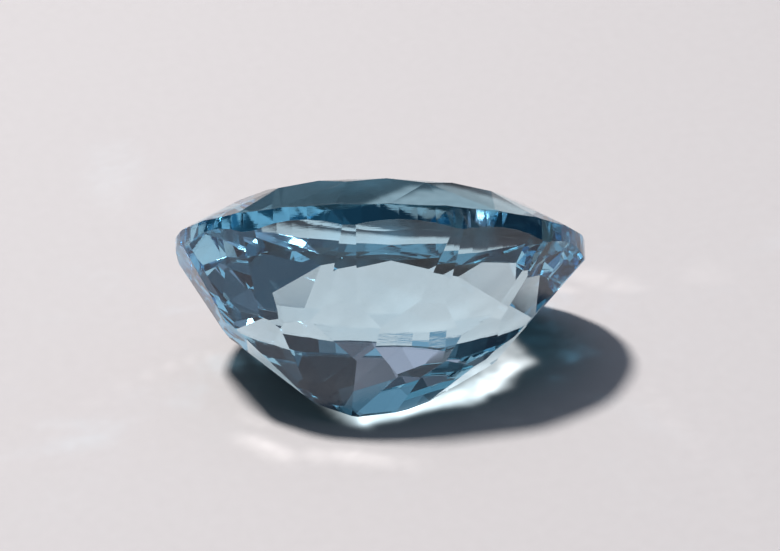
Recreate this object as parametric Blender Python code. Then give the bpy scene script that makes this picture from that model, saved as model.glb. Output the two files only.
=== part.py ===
# An oval faceted topaz that lies on one facet of its pavilion, with the culet just above the ground.
# The stone is ground from a block the way a cutter does it, one flat facet after another.
# It is designed round, with a radius of 1, and squeezed to its oval as each facet is ground.

import math

import bmesh
import bpy
from mathutils import Matrix, Vector

MM = 0.001

# Outline
LENGTH = 16.0 * MM
WIDTH = 11.5 * MM
GIRDLE_THICKNESS = 0.82 * MM
GIRDLE_SIDES = 72

# Crown: a table, with kites, stars and breaks around it
CROWN_HEIGHT = 1.53 * MM
CROWN_FOLD = 12
CROWN_TURN = -7.2  # degrees, against the stone's width
TABLE_SHARE = 0.64  # of the stone's length and width
STAR_SHARE = 0.72  # how far out the tips of the stars lie

# Pavilion: rings of facets from the girdle down to the culet
PAVILION_FOLD = 12
PAVILION_TURN = -3.7  # degrees, against the stone's width
PAVILION_LEAN = 8.9  # degrees: the culet lies off centre, towards -X
END_STEEPNESS = 3.7  # degrees: how much steeper a ring is at the ends, and shallower at the sides
PAVILION_RINGS = [
    # turn in steps, slope from level in degrees, radius at which the ring would meet the girdle,
    # how far off centre it was ground, along X
    {"turn": 0.5, "slope": 48.0, "reach": 1.000, "shift": 0.07 * MM},
    {"turn": 0.0, "slope": 49.6, "reach": 0.973, "shift": 0.04 * MM},
    {"turn": 0.5, "slope": 40.7, "reach": 1.092, "shift": 0.05 * MM},
    {"turn": 0.0, "slope": 33.8, "reach": 1.327, "shift": 1.4 * MM},
    {"turn": 0.5, "slope": 30.6, "reach": 1.513, "shift": -1.58 * MM},
]
RESTING_RING = 2  # the ring of which one facet lies on the ground
RESTING_FACET = 5  # and which one, counted from the front round through +X
RESTING_DEPTH = 0.2 * MM  # how much deeper it is ground than the rest of its ring

# Working limits
BLOCK_SIZE = 40 * MM  # edge of the rough block
ON_PLANE = 0.0002 * MM  # corners this close to a cut are taken as on it
SHORTEST_EDGE = 0.002 * MM

HALF_LENGTH = LENGTH / 2
HALF_WIDTH = WIDTH / 2
GIRDLE_TOP = GIRDLE_THICKNESS / 2 / HALF_LENGTH
TABLE_LEVEL = GIRDLE_TOP + CROWN_HEIGHT / HALF_LENGTH
FRONT = -math.pi / 2


def polar(angle, radius, level):
    return Vector((radius * math.cos(angle), radius * math.sin(angle), level))


def sloped_plane(angle, slope, reach, level, up):
    """The plane that faces out at an angle, at a slope from level, and passes reach from the axis."""
    rise = math.cos(slope) * (1 if up else -1)
    normal = polar(angle, math.sin(slope), rise)
    return normal, normal.dot(polar(angle, reach, level))


def plane_through(first, second, third):
    """The plane of three points, facing away from the stone's middle."""
    normal = (second - first).cross(third - first).normalized()
    distance = normal.dot(first)
    return (normal, distance) if distance > 0 else (-normal, -distance)


def girdle_planes():
    for side in range(GIRDLE_SIDES):
        angle = FRONT + 2 * math.pi * (side + 0.5) / GIRDLE_SIDES
        yield polar(angle, 1, 0), math.cos(math.pi / GIRDLE_SIDES)


def pavilion_planes(ring):
    for facet in range(PAVILION_FOLD):
        angle = FRONT + math.radians(PAVILION_TURN) + 2 * math.pi * (facet + ring["turn"]) / PAVILION_FOLD
        slope = math.radians(ring["slope"] + END_STEEPNESS * math.cos(2 * angle))
        yield sloped_plane(angle, slope, ring["reach"], -GIRDLE_TOP, up=False)


def pavilion_facets(ring):
    """A ring of the pavilion as ground: squeezed to the oval, leaning, and shifted off centre."""
    for plane in pavilion_planes(ring):
        normal, distance = squeezed(plane, PAVILION_LEAN)
        yield normal, distance + normal.x * ring["shift"]


def crown_planes():
    step = 2 * math.pi / CROWN_FOLD
    slope = math.atan2(TABLE_LEVEL - GIRDLE_TOP, 1 - TABLE_SHARE)
    for facet in range(CROWN_FOLD):
        angle = FRONT + math.radians(CROWN_TURN) + step * facet
        kite, distance = sloped_plane(angle, slope, 1, GIRDLE_TOP, up=True)
        yield kite, distance
        tip = polar(angle + step / 2, STAR_SHARE, 0)
        tip.z = (distance - kite.dot(tip)) / kite.z
        yield plane_through(
            polar(angle, TABLE_SHARE, TABLE_LEVEL), polar(angle + step, TABLE_SHARE, TABLE_LEVEL), tip
        )
        for start in (angle, angle + step / 2):
            yield plane_through(tip, polar(start, 1, GIRDLE_TOP), polar(start + step / 2, 1, GIRDLE_TOP))
    yield Vector((0, 0, 1)), TABLE_LEVEL


def squeezed(plane, lean=0.0):
    """A plane of the round design, squeezed to the oval; the pavilion also leans, in degrees."""
    normal, distance = plane
    shift = math.tan(math.radians(lean))
    oval = Vector((normal.x / HALF_LENGTH, normal.y / HALF_WIDTH, normal.z / HALF_LENGTH))
    oval.z -= oval.x * shift
    distance += oval.x * shift * GIRDLE_THICKNESS / 2
    return oval.normalized(), distance / oval.length


def grind(stone, plane):
    """Takes off what stands outside a plane and closes the cut with one flat facet."""
    normal, distance = plane
    cut = bmesh.ops.bisect_plane(
        stone, geom=stone.verts[:] + stone.edges[:] + stone.faces[:], dist=ON_PLANE,
        plane_co=normal * distance, plane_no=normal, clear_outer=True,
    )
    rim = [item for item in cut["geom_cut"] if isinstance(item, bmesh.types.BMEdge) and item.is_boundary]
    if rim:
        bmesh.ops.contextual_create(stone, geom=rim)


def resting_plane():
    normal, distance = list(pavilion_facets(PAVILION_RINGS[RESTING_RING]))[RESTING_FACET]
    return normal, distance - RESTING_DEPTH


def lay_down(stone):
    """Turns the stone onto its resting facet, long axis level, and stands its box on the origin."""
    up = -resting_plane()[0]
    along = (Vector((1, 0, 0)) - up * up.x).normalized()
    stone.transform(Matrix((along, up.cross(along), up)).to_4x4())
    low = Vector([min(corner.co[axis] for corner in stone.verts) for axis in range(3)])
    high = Vector([max(corner.co[axis] for corner in stone.verts) for axis in range(3)])
    middle = (low + high) / 2
    stone.transform(Matrix.Translation((-middle.x, -middle.y, -low.z)))


def topaz_material():
    """Pale sky-blue topaz, polished."""
    material = bpy.data.materials.new("topaz")
    material.use_nodes = True
    shader = material.node_tree.nodes["Principled BSDF"]
    shader.inputs["Base Color"].default_value = (0.36, 0.62, 0.74, 1)
    shader.inputs["Roughness"].default_value = 0.03
    shader.inputs["IOR"].default_value = 1.62
    shader.inputs["Transmission Weight"].default_value = 1
    return material


def cut_stone():
    stone = bmesh.new()
    bmesh.ops.create_cube(stone, size=BLOCK_SIZE)
    for plane in girdle_planes():
        grind(stone, squeezed(plane))
    for ring in PAVILION_RINGS:
        for facet in pavilion_facets(ring):
            grind(stone, facet)
    grind(stone, resting_plane())
    for plane in crown_planes():
        grind(stone, squeezed(plane))
    bmesh.ops.remove_doubles(stone, verts=stone.verts[:], dist=SHORTEST_EDGE)
    bmesh.ops.recalc_face_normals(stone, faces=stone.faces[:])
    return stone


def main():
    for old in list(bpy.data.objects):
        bpy.data.objects.remove(old, do_unlink=True)
    stone = cut_stone()
    lay_down(stone)
    mesh = bpy.data.meshes.new("gemstone")
    stone.to_mesh(mesh)
    stone.free()
    mesh.materials.append(topaz_material())
    gemstone = bpy.data.objects.new("gemstone", mesh)
    bpy.context.scene.collection.objects.link(gemstone)


main()
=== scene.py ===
import math

import bmesh
import bpy
import numpy as np
from mathutils import Matrix, Vector


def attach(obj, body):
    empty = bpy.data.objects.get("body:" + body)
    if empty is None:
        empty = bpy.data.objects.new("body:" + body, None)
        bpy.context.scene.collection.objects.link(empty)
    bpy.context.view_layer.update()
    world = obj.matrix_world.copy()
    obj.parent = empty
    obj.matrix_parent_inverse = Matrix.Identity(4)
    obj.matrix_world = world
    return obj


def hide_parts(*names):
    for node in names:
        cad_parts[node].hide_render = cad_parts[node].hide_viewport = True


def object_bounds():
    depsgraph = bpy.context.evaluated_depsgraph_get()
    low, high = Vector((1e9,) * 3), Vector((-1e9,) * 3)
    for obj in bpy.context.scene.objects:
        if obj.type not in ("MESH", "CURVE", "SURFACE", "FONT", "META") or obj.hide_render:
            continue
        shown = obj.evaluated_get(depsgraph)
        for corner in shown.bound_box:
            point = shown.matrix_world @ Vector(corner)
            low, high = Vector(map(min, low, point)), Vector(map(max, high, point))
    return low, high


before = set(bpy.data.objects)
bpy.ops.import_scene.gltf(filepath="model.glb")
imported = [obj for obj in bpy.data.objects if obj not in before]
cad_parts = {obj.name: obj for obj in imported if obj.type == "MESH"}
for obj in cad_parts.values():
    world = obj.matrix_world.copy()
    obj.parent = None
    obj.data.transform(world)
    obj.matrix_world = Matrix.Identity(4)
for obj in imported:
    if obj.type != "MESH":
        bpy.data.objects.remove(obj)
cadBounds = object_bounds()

mm = 0.001


def hexColour(code):
    parts = [int(code[i:i + 2], 16) / 255 for i in (0, 2, 4)]
    return tuple(c / 12.92 if c <= 0.04045 else ((c + 0.055) / 1.055) ** 2.4 for c in parts) + (1.0,)


def addNode(tree, kind, inputs=None, **settings):
    # inputs: socket name or number -> a value, or an output socket to link from
    node = tree.nodes.new(kind)
    for name, value in settings.items():
        setattr(node, name, value)
    for socket, value in (inputs or {}).items():
        if isinstance(value, bpy.types.NodeSocket):
            tree.links.new(value, node.inputs[socket])
        else:
            node.inputs[socket].default_value = value
    return node


def newMaterial(name):
    material = bpy.data.materials.new(name)
    material.use_nodes = True
    tree = material.node_tree
    tree.nodes.clear()
    return material, tree, addNode(tree, "ShaderNodeOutputMaterial")


# camera

cameraSet = {
    "elevation": 31.85,  # degrees above the floor
    "azimuth": -9.68,  # degrees round from the front
    "roll": -1.40,
    "distance": 112.72 * mm,
    "lookAt": (0.179 * mm, -0.218 * mm, 3.9 * mm),
    "lens": 134.66,  # millimetres
}


def makeCamera():
    elevation, azimuth = (math.radians(cameraSet[key]) for key in ("elevation", "azimuth"))
    towards = Vector((math.sin(azimuth) * math.cos(elevation), -math.cos(azimuth) * math.cos(elevation),
                      math.sin(elevation)))
    data = bpy.data.cameras.new("camera")
    data.lens = cameraSet["lens"]
    data.clip_start = mm
    camera = bpy.data.objects.new("camera", data)
    bpy.context.scene.collection.objects.link(camera)
    turn = (-towards).to_track_quat("-Z", "Y").to_matrix().to_4x4()
    roll = Matrix.Rotation(math.radians(cameraSet["roll"]), 4, "Z")
    place = Vector(cameraSet["lookAt"]) + towards * cameraSet["distance"]
    camera.matrix_world = Matrix.Translation(place) @ turn @ roll
    bpy.context.scene.camera = camera
    print("camera: lens", cameraSet["lens"])


# light: a small round lamp high behind the stone, a softly lit ceiling, pale light low in front and
# at the right, and a dim room between them

lampSet = {
    "towards": (-0.306, 0.226, 0.925),  # from the stone
    "distance": 380 * mm,
    "halfAngle": 0.06,  # radians: the lamp's radius as the stone sees it
    "irradiance": 2.58,  # on the paper
}
roomSet = {
    "colour": "14222f",  # the dim room itself
    # soft-edged areas of light, in degrees: turn is counted from behind the stone through the right,
    # up from the floor; flatten is how much wider than high
    "areas": [
        {"name": "ceiling", "turn": 350, "up": 78, "halfAngle": 24, "blur": 18, "flatten": 1.0,
         "colour": "bcb3c2", "strength": 1.0},
        {"name": "highBehind", "turn": 340, "up": 40, "halfAngle": 14, "blur": 12, "flatten": 1.0,
         "colour": "59595d", "strength": 1.0},
        {"name": "lowBehind", "turn": 10, "up": 8, "halfAngle": 16, "blur": 14, "flatten": 1.0,
         "colour": "769eb5", "strength": 1.0},
        {"name": "frontRight", "turn": 135, "up": 40, "halfAngle": 25, "blur": 22, "flatten": 1.0,
         "colour": "274552", "strength": 1.0},
        {"name": "front", "turn": 200, "up": 30, "halfAngle": 22, "blur": 18, "flatten": 1.0,
         "colour": "7999a6", "strength": 1.0},
        {"name": "lowFront", "turn": 230, "up": 0, "halfAngle": 20, "blur": 18, "flatten": 4.0,
         "colour": "b5eeff", "strength": 1.4},
        {"name": "lowRight", "turn": 90, "up": 0, "halfAngle": 20, "blur": 18, "flatten": 4.0,
         "colour": "c9faff", "strength": 1.2},
        {"name": "right", "turn": 85, "up": 28, "halfAngle": 16, "blur": 14, "flatten": 1.0,
         "colour": "386981", "strength": 1.0},
    ],
}


def lampPlace():
    return Vector(lampSet["towards"]).normalized() * lampSet["distance"]


def makeLamp():
    place = lampPlace()
    radius = lampSet["distance"] * lampSet["halfAngle"]
    data = bpy.data.lights.new("softLamp", "AREA")
    data.shape = "DISK"
    data.size = 2 * radius
    # a flat round lamp of power W lights a far sheet that faces it with W / (pi distance^2)
    facing = place.normalized().z
    data.energy = lampSet["irradiance"] / facing * math.pi * lampSet["distance"] ** 2
    lamp = bpy.data.objects.new("softLamp", data)
    lamp.matrix_world = Matrix.Translation(place) @ place.to_track_quat("Z", "Y").to_matrix().to_4x4()
    bpy.context.scene.collection.objects.link(lamp)
    print("lamp: radius", round(radius / mm, 1), "mm")


def makeRoom():
    world = bpy.data.worlds.new("room")
    world.use_nodes = True
    tree = world.node_tree
    tree.nodes.clear()
    way = addNode(tree, "ShaderNodeTexCoord").outputs["Generated"]
    shade = hexColour(roomSet["colour"])
    for area in roomSet["areas"]:
        turn, up = (math.radians(area[key]) for key in ("turn", "up"))
        halfAngle, blur = (math.radians(area[key]) for key in ("halfAngle", "blur"))
        towards = Vector((math.cos(up) * math.sin(turn), math.cos(up) * math.cos(turn), math.sin(up)))
        stretch = Vector((1, 1, area["flatten"]))
        middle = (towards * stretch).normalized()
        stretched = addNode(tree, "ShaderNodeVectorMath", {
            0: way, 1: stretch}, operation="MULTIPLY").outputs[0]
        unit = addNode(tree, "ShaderNodeVectorMath", {0: stretched}, operation="NORMALIZE").outputs[0]
        facing = addNode(tree, "ShaderNodeVectorMath", {0: unit, 1: middle}, operation="DOT_PRODUCT")
        angle = addNode(tree, "ShaderNodeMath", {
            0: facing.outputs["Value"]}, operation="ARCCOSINE").outputs[0]
        share = addNode(tree, "ShaderNodeMapRange", {
            0: angle, 1: halfAngle - blur / 2, 2: halfAngle + blur / 2, 3: area["strength"], 4: 0.0},
            interpolation_type="SMOOTHSTEP").outputs[0]
        shade = addNode(tree, "ShaderNodeMix", {0: share, 6: shade, 7: hexColour(area["colour"])},
                        data_type="RGBA", blend_type="ADD", clamp_factor=False).outputs[2]
    glow = addNode(tree, "ShaderNodeBackground", {"Color": shade, "Strength": 1.0})
    addNode(tree, "ShaderNodeOutputWorld", {"Surface": glow.outputs[0]})
    bpy.context.scene.world = world
    print("room: soft light from", ", ".join(area["name"] for area in roomSet["areas"]))


# the stone

stoneSet = {
    "ior": 1.62,  # topaz: 1.61 to 1.64
    "absorbed": (48.0, 17.0, 6.0),  # per metre, red green blue: sky blue
    "sameFacet": math.radians(1),  # triangles that meet at less than this are one facet
    "squareTo": 0.01,  # cosine: faces this square to the table belong to the girdle
    "smallest": 0.0005 * mm,  # corners closer than this are one
    "edgeWear": 0.012 * mm,  # how far the facets' edges are ground off
    "edgeAngle": math.radians(4),  # facets that meet at less than this have no edge to wear
    "edgeLength": 0.036 * mm,  # and shorter edges stay sharp
    "rimWear": 0.04 * mm,  # the girdle's two rims are a little more worn and round, and catch the light
    "rimSteps": 3,
    "girdleRoughness": 0.03,
    "girdlePaintedShade": "f4f8fa",  # painted shade: a faint tint that makes the girdle a touch darker
    "raggedLength": 0.9 * mm,  # the uneven edges of its less polished band
    "raggedInside": 0.05 * mm,
    "raggedOutside": 0.08 * mm,
    "markWidth": 0.05 * mm,  # marks of the polishing wheel, coarser than real grit, so that they show
    "markLength": 0.5 * mm,
    "markDepth": 0.001 * mm,
    "rippleWidth": 0.35 * mm,  # slow ripples where the wheel chattered
    "rippleLength": 1.3 * mm,
    "rippleDepth": 0.003 * mm,
}


def readFacets(node):
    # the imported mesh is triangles: back to one face for each facet
    stone = bmesh.new()
    stone.from_mesh(node.data)
    bmesh.ops.remove_doubles(stone, verts=stone.verts[:], dist=stoneSet["smallest"])
    bmesh.ops.dissolve_limit(stone, angle_limit=stoneSet["sameFacet"], verts=stone.verts[:],
                             edges=stone.edges[:])
    stone.normal_update()
    return stone


def isGirdle(face, axis):
    return abs(face.normal.dot(axis)) < stoneSet["squareTo"]


def girdleOf(stone):
    # the stone's axis is square to its table, the largest facet; the girdle runs from level - reach to
    # level + reach along it
    axis = max(stone.faces, key=lambda face: face.calc_area()).normal.copy()
    heights = [corner.co.dot(axis) for face in stone.faces if isGirdle(face, axis) for corner in face.verts]
    return axis, (min(heights) + max(heights)) / 2, (max(heights) - min(heights)) / 2


def girdleMask(tree, place, height, level, reach):
    # 1 on the girdle and 0 beyond it, with ragged edges
    fromLevel = addNode(tree, "ShaderNodeMath", {0: height, 1: level}, operation="SUBTRACT").outputs[0]
    fromMiddle = addNode(tree, "ShaderNodeMath", {0: fromLevel}, operation="ABSOLUTE").outputs[0]
    ragged = addNode(tree, "ShaderNodeTexNoise", {
        "Vector": place, "Scale": 1 / stoneSet["raggedLength"], "Detail": 4.0}).outputs[0]
    edge = addNode(tree, "ShaderNodeMapRange", {
        0: ragged, 3: reach - stoneSet["raggedInside"], 4: reach + stoneSet["raggedOutside"]}).outputs[0]
    return addNode(tree, "ShaderNodeMath", {0: fromMiddle, 1: edge}, operation="LESS_THAN").outputs[0]


def girdleRelief(tree, place, height, axis):
    # marks and ripples that run round the stone: noise that is packed closer along its axis
    alongAxis = addNode(tree, "ShaderNodeVectorMath", {
        0: axis, "Scale": height}, operation="SCALE").outputs[0]
    relief = 0.0
    for kind in ("mark", "ripple"):
        length, width, depth = (stoneSet[kind + part] for part in ("Length", "Width", "Depth"))
        packed = addNode(tree, "ShaderNodeVectorMath", {
            0: alongAxis, 1: (length / width - 1,) * 3, 2: place}, operation="MULTIPLY_ADD").outputs[0]
        grain = addNode(tree, "ShaderNodeTexNoise", {
            "Vector": packed, "Scale": 1 / length, "Detail": 3.0}).outputs[0]
        relief = addNode(tree, "ShaderNodeMath", {
            0: grain, 1: depth, 2: relief}, operation="MULTIPLY_ADD").outputs[0]
    return relief


def polishedTopaz(axis, level, reach):
    # sky-blue topaz, ground and polished on a lap: flat mirrors that show sharp pale and dark shapes;
    # its girdle is polished less, so that its reflections waver a little and its edges look ragged
    material, tree, output = newMaterial("polishedTopaz")
    place = addNode(tree, "ShaderNodeTexCoord").outputs["Object"]
    height = addNode(tree, "ShaderNodeVectorMath", {
        0: place, 1: axis}, operation="DOT_PRODUCT").outputs["Value"]
    onGirdle = girdleMask(tree, place, height, level, reach)
    relief = addNode(tree, "ShaderNodeMath", {
        0: girdleRelief(tree, place, height, axis), 1: onGirdle}, operation="MULTIPLY").outputs[0]
    normal = addNode(tree, "ShaderNodeBump", {
        "Height": relief, "Strength": 1.0, "Distance": 1.0}).outputs[0]
    roughness = addNode(tree, "ShaderNodeMath", {
        0: onGirdle, 1: stoneSet["girdleRoughness"]}, operation="MULTIPLY").outputs[0]
    # painted shade: the girdle's base colour is tinted a touch darker than the polished facets
    colour = addNode(tree, "ShaderNodeMix", {
        0: onGirdle, 6: (1, 1, 1, 1), 7: hexColour(stoneSet["girdlePaintedShade"])}, data_type="RGBA").outputs[2]
    shader = addNode(tree, "ShaderNodeBsdfPrincipled", {
        "Base Color": colour, "Roughness": roughness, "Normal": normal,
        "IOR": stoneSet["ior"], "Transmission Weight": 1.0})
    density = max(stoneSet["absorbed"]) * 1.02  # a little over, so that the red tint isn't quite black
    tint = tuple(1 - part / density for part in stoneSet["absorbed"]) + (1.0,)
    volume = addNode(tree, "ShaderNodeVolumeAbsorption", {"Color": tint, "Density": density})
    tree.links.new(shader.outputs[0], output.inputs["Surface"])
    tree.links.new(volume.outputs[0], output.inputs["Volume"])
    return material


def wearEdges(stone, edges, wear, steps=1):
    # returns the new faces
    return bmesh.ops.bevel(stone, geom=edges, offset=wear, segments=steps, affect="EDGES", profile=0.5,
                           clamp_overlap=True)["faces"]


def keepInside(stone, planes):
    # wear only takes stone away: a corner that was pushed out goes back to its facet
    for normal, level in zip(*planes):
        out = Vector(normal)
        for corner in stone.verts:
            corner.co -= out * max(0.0, corner.co.dot(out) - float(level))
    bmesh.ops.dissolve_degenerate(stone, dist=stoneSet["smallest"], edges=stone.edges[:])


def makeStone(node):
    stone = readFacets(node)
    planes = facetPlanes(stone)
    axis, level, reach = girdleOf(stone)
    facets = len(stone.faces)
    rims = [edge for edge in stone.edges if sum(isGirdle(face, axis) for face in edge.link_faces) == 1]
    rounded = set(wearEdges(stone, rims, stoneSet["rimWear"], stoneSet["rimSteps"]))
    edges = [edge for edge in stone.edges
             if edge.calc_face_angle() > stoneSet["edgeAngle"]
             and edge.calc_length() > stoneSet["edgeLength"]
             and not rounded.intersection(edge.link_faces)]
    wearEdges(stone, edges, stoneSet["edgeWear"])
    keepInside(stone, planes)
    mesh = bpy.data.meshes.new("cutStone")
    stone.to_mesh(mesh)
    stone.free()
    mesh.materials.append(polishedTopaz(axis, level, reach))
    piece = bpy.data.objects.new("cutStone", mesh)
    bpy.context.scene.collection.objects.link(piece)
    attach(piece, "root")
    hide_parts("gemstone")
    print("stone:", facets, "facets,", len(mesh.polygons), "faces with worn edges, girdle",
          round(2 * reach / mm, 2), "mm")
    return planes


# the light that the stone gathers on the paper: lamp rays followed through its facets

gatherSet = {
    "batches": 60,
    "quickBatches": 6,
    "batch": 10000,  # rays
    "bounces": 9,
    "weakest": 0.01,  # share of its first light at which a ray is dropped
    "parallel": 1e-7,  # cosine: rays flatter than this run along a facet
    "onFacet": 1e-3 * mm,  # a start this little outside a facet is taken as on it
    "farthest": 1e9,  # stands for no crossing
    "lowest": 1e-3,  # rays flatter than this don't reach the paper
    "tiny": 1e-9,  # keeps a division by nothing from failing
    "cell": 0.12 * mm,
    "reach": 20 * mm,  # half the patch's edge
    "spread": 1.0,  # cells
    "seed": 7,
}


def facetPlanes(stone):
    # each facet's normal, and its plane's distance from the origin
    normals = np.array([face.normal for face in stone.faces], np.float32)
    points = np.array([face.verts[0].co for face in stone.faces], np.float32)
    return normals, (normals * points).sum(1)


def crossing(starts, ways, normals, levels):
    # where rays from outside enter the convex stone: hit or not, distance, facet
    flat, farthest = gatherSet["parallel"], gatherSet["farthest"]
    along = ways @ normals.T
    gap = levels - starts @ normals.T
    safe = np.where(np.abs(along) > flat, along, flat)
    entry = np.where(along < -flat, gap / safe, -farthest)
    leave = np.where(along > flat, gap / safe, farthest)
    facet = entry.argmax(1)
    distance = entry[np.arange(len(facet)), facet]
    return (distance < leave.min(1)) & (distance > 0), distance, facet


def leaving(starts, ways, normals, levels):
    # where rays inside the stone reach its surface: distance, facet
    flat, farthest = gatherSet["parallel"], gatherSet["farthest"]
    along = ways @ normals.T
    gap = levels - starts @ normals.T
    reach = np.where(along > flat, gap / np.where(along > flat, along, 1), farthest)
    reach[reach < -gatherSet["onFacet"]] = farthest
    facet = reach.argmin(1)
    return np.maximum(reach[np.arange(len(facet)), facet], 0), facet


def reflectance(cosine, ratio):
    # ratio: index on this side over the index beyond; gives the mirrored share, the cosine beyond, and
    # whether anything passes
    sine2 = ratio * ratio * (1 - cosine * cosine)
    beyond = np.sqrt(np.maximum(0, 1 - sine2))
    across = (ratio * cosine - beyond) / (ratio * cosine + beyond + gatherSet["tiny"])
    along = (cosine - ratio * beyond) / (cosine + ratio * beyond + gatherSet["tiny"])
    return np.where(sine2 >= 1, 1, (across ** 2 + along ** 2) / 2), beyond, sine2 < 1


def gatherLight(planes):
    # for each cell of the paper, the light off and through the stone, as a part of the open paper's
    random = np.random.default_rng(gatherSet["seed"])
    cells = int(2 * gatherSet["reach"] / gatherSet["cell"])
    floor = np.zeros((cells, cells, 3))
    batches = gatherSet["batches"]
    for _ in range(batches):
        followRays(*lampRays(random), planes, floor)
    return soften(floor / batches / gatherSet["cell"] ** 2)


def lampRays(random):
    # one batch, from points on the lamp to points on a square round the stone
    place = lampPlace()
    lamp = place.normalized()
    side = lamp.cross(Vector((0, 0, 1))).normalized()
    place, lamp, side, other = (np.array(v) for v in (place, lamp, side, side.cross(lamp)))
    low, high = (np.array(corner) for corner in cadBounds)
    middle = (low + high) / 2
    radius = np.linalg.norm(high - low) / 2
    count = gatherSet["batch"]
    out = np.sqrt(random.random(count)) * lampSet["distance"] * lampSet["halfAngle"]
    turn = random.random(count) * 2 * math.pi
    starts = place + side * (out * np.cos(turn))[:, None] + other * (out * np.sin(turn))[:, None]
    aim = random.uniform(-radius, radius, (count, 2))
    ways = middle + side * aim[:, :1] + other * aim[:, 1:] - starts
    ways /= np.linalg.norm(ways, axis=1)[:, None]
    # each ray's share of the lamp's light, as a part of what a square metre of open paper gets
    power = (2 * radius) ** 2 / count / lamp[2]
    power *= (np.linalg.norm(place) / np.linalg.norm(place - middle)) ** 2
    return starts.astype(np.float32), ways.astype(np.float32), power


def landOn(floor, points, ways, colours):
    # adds what reaches the paper to its cell
    down = ways[:, 2] < -gatherSet["lowest"]
    points, ways, colours = points[down], ways[down], colours[down]
    spots = points - ways * (points[:, 2:] / ways[:, 2:])
    index = np.floor((spots[:, :2] + gatherSet["reach"]) / gatherSet["cell"]).astype(int)
    inside = ((index >= 0) & (index < len(floor))).all(1)
    np.add.at(floor, (index[inside, 1], index[inside, 0]), colours[inside])


def followRays(starts, ways, power, planes, floor):
    # off the stone's outside, then through it from facet to facet
    normals, levels = planes
    ior = stoneSet["ior"]
    hit, distance, facet = crossing(starts, ways, normals, levels)
    points = starts[hit] + ways[hit] * distance[hit, None]
    ways, across = ways[hit], normals[facet[hit]]
    cosine = -(ways * across).sum(1)
    share, beyond, _ = reflectance(cosine, 1 / ior)
    landOn(floor, points, ways + 2 * cosine[:, None] * across, power * share[:, None] * np.ones(3))
    colours = power * (1 - share)[:, None] * np.ones(3)
    ways = ways / ior + (cosine / ior - beyond)[:, None] * across
    absorbed = np.array(stoneSet["absorbed"])
    for _ in range(gatherSet["bounces"]):
        ways /= np.linalg.norm(ways, axis=1)[:, None]
        distance, facet = leaving(points, ways, normals, levels)
        points = points + ways * distance[:, None]
        colours = colours * np.exp(-absorbed * distance[:, None])
        across = normals[facet]
        cosine = (ways * across).sum(1)
        share, beyond, out = reflectance(cosine, ior)
        through = ways[out] * ior - (cosine[out] * ior - beyond[out])[:, None] * across[out]
        landOn(floor, points[out], through, colours[out] * (1 - share[out])[:, None])
        ways = ways - 2 * cosine[:, None] * across
        colours = colours * share[:, None]
        strong = colours.max(1) > gatherSet["weakest"] * power
        points, ways, colours = points[strong], ways[strong], colours[strong]


def soften(field):
    # a small blur, so that single rays don't show
    reach = int(3 * gatherSet["spread"]) + 1
    weights = np.exp(-0.5 * (np.arange(-reach, reach + 1) / gatherSet["spread"]) ** 2)
    weights /= weights.sum()
    for axis in (0, 1):
        field = sum(w * np.roll(field, i - reach, axis=axis) for i, w in enumerate(weights))
    return field


# floor: matt white paper

floorSet = {
    "colour": "e9e2e0",
    "fibreColour": "e2dbd9",  # where its fibres lie in their own shade
    "fibreLength": 0.5 * mm,  # coarser than real ones, so that they show
    "fibreDepth": 0.006 * mm,
    "gap": 0.01 * mm,  # air under the resting facet, which keeps its mirror
    "farGap": 0.012 * mm,  # the wide sheet lies a hair lower than the one with the gathered light
    "halfSize": 1500 * mm,
    "roughness": 0.9,
}


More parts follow.
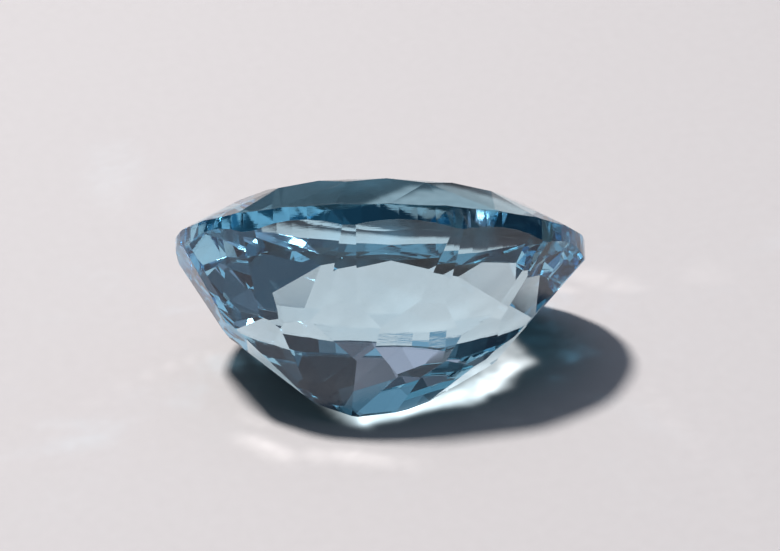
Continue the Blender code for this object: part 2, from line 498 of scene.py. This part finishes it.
def mattPaper():
    # uncoated white paper: no gloss, a faint tooth; the light that the stone gathers glows on it
    material, tree, output = newMaterial("mattPaper")
    gathered = addNode(tree, "ShaderNodeAttribute", attribute_name="gathered").outputs["Color"]
    place = addNode(tree, "ShaderNodeTexCoord").outputs["Object"]
    fibres = addNode(tree, "ShaderNodeTexNoise", {
        "Vector": place, "Scale": 1 / floorSet["fibreLength"], "Detail": 3.0}).outputs[0]
    colour = addNode(tree, "ShaderNodeMix", {
        0: fibres, 6: hexColour(floorSet["fibreColour"]), 7: hexColour(floorSet["colour"])},
        data_type="RGBA").outputs[2]
    tooth = addNode(tree, "ShaderNodeBump", {
        "Height": fibres, "Strength": 1.0, "Distance": floorSet["fibreDepth"]}).outputs[0]
    shader = addNode(tree, "ShaderNodeBsdfPrincipled", {
        "Base Color": colour, "Normal": tooth, "Roughness": floorSet["roughness"],
        "Specular IOR Level": 0.0, "Emission Color": gathered, "Emission Strength": 1.0})
    tree.links.new(shader.outputs[0], output.inputs["Surface"])
    material.cycles.emission_sampling = "NONE"
    return material


def makeSheet(name, steps, halfSize, gap, material):
    # a level square of steps by steps faces
    grid = bmesh.new()
    bmesh.ops.create_grid(grid, x_segments=steps, y_segments=steps, size=halfSize)
    mesh = bpy.data.meshes.new(name)
    grid.to_mesh(mesh)
    grid.free()
    mesh.materials.append(material)
    sheet = bpy.data.objects.new(name, mesh)
    sheet.location.z = -gap
    bpy.context.scene.collection.objects.link(sheet)
    return mesh


def makeFloor(planes):
    material = mattPaper()
    reach, cell = gatherSet["reach"], gatherSet["cell"]
    cells = int(2 * reach / cell)
    near = makeSheet("paper", cells - 1, reach - cell / 2, floorSet["gap"], material)
    makeSheet("paperBeyond", 1, floorSet["halfSize"], floorSet["farGap"], material)

    # each corner of the near sheet holds the light that its cell gets from the stone
    paper = np.array(hexColour(floorSet["colour"])[:3])
    light = gatherLight(planes) * paper * lampSet["irradiance"] / math.pi
    places = np.empty(len(near.vertices) * 3, np.float32)
    near.vertices.foreach_get("co", places)
    index = np.floor((places.reshape(-1, 3)[:, :2] + reach) / cell).astype(int).clip(0, cells - 1)
    colours = np.ones((len(near.vertices), 4), np.float32)
    colours[:, :3] = light[index[:, 1], index[:, 0]]
    near.attributes.new("gathered", "FLOAT_COLOR", "POINT").data.foreach_set("color", colours.ravel())
    print("floor: brightest gathered light", round(float(light.max()), 2))


makeCamera()
makeLamp()
makeRoom()
planes = makeStone(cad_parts["gemstone"])
makeFloor(planes)

scene = bpy.context.scene
scene.view_settings.view_transform = "Standard"
scene.cycles.caustics_reflective = False
scene.cycles.caustics_refractive = False
scene.cycles.denoising_input_passes = "RGB"  # the extra passes hold the clear stone's noise
# light is mirrored many times inside the stone before it leaves
scene.cycles.max_bounces = 24
scene.cycles.transmission_bounces = 20
scene.cycles.glossy_bounces = 16
